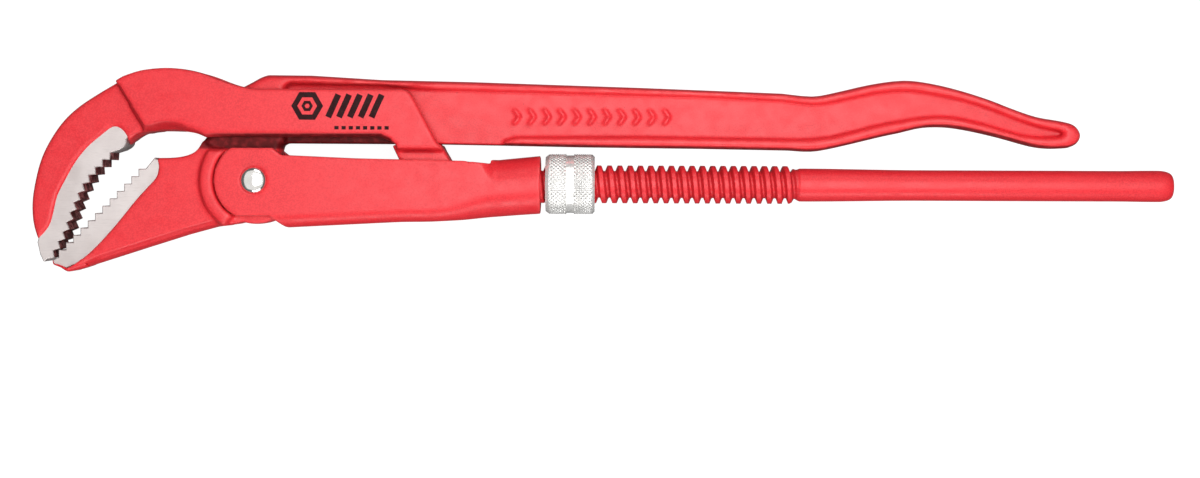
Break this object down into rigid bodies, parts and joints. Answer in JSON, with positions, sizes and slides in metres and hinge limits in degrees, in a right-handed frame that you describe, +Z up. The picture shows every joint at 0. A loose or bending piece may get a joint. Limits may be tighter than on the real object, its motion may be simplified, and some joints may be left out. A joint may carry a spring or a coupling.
{
  "type": "pipe wrench",
  "caption": "Swedish-pattern pipe wrench with S-shaped toothed jaws, a forked hook leg, a riveted channel sleeve, a knurled adjusting nut on a threaded round handle, and a wavy upper handle.",
  "frame": {"origin": "centre of the closed wrench's bounding box in plan, on the surface that it lies on", "axes": "+X along the handles, away from the jaws; +Y from the round lower handle towards the upper handle; +Z up, across the wrench's thickness and parallel to the pivot"},
  "size_m": [0.33, 0.0588, 0.0208],
  "materials": {
    "red_paint": "satin red paint over forged and bent steel, slightly uneven, worn thin along the edges",
    "ground_steel": "bare hardened steel, ground flat on the sides, sharp milled teeth",
    "bright_plating": "bright plated steel, knurled on the nut and polished on the rivet heads"
  },
  "bodies": {
    "jaw_leg": {"jaw_leg": "red_paint", "jaw_teeth": "ground_steel"},
    "sleeve": {"sleeve": "red_paint", "pivot_rivet": "bright_plating"},
    "hook_leg": {"hook_leg": "red_paint", "hook_teeth": "ground_steel", "threaded_handle": "red_paint"},
    "nut": {"adjusting_nut": "bright_plating"}
  },
  "joints": [
    {"name": "leg_pivot", "type": "hinge", "parent": "jaw_leg", "child": "sleeve", "pos_m": [-0.1003, -0.00275, 0.0104], "axis": [0, 0, -1], "range_deg": [0, 20]},
    {"name": "hook_slide", "type": "slide", "parent": "sleeve", "child": "hook_leg", "axis": [-1, 0, 0], "range_m": [0, 0.03]},
    {"name": "nut_spin", "type": "hinge", "parent": "sleeve", "child": "nut", "pos_m": [-0.0097, -0.00355, 0.0104], "axis": [1, 0, 0], "range_deg": [0, 3600]}
  ],
  "couplings": [
    {"joint": "nut_spin", "follows": "hook_slide", "rad_per_m": 2094.4}
  ]
}
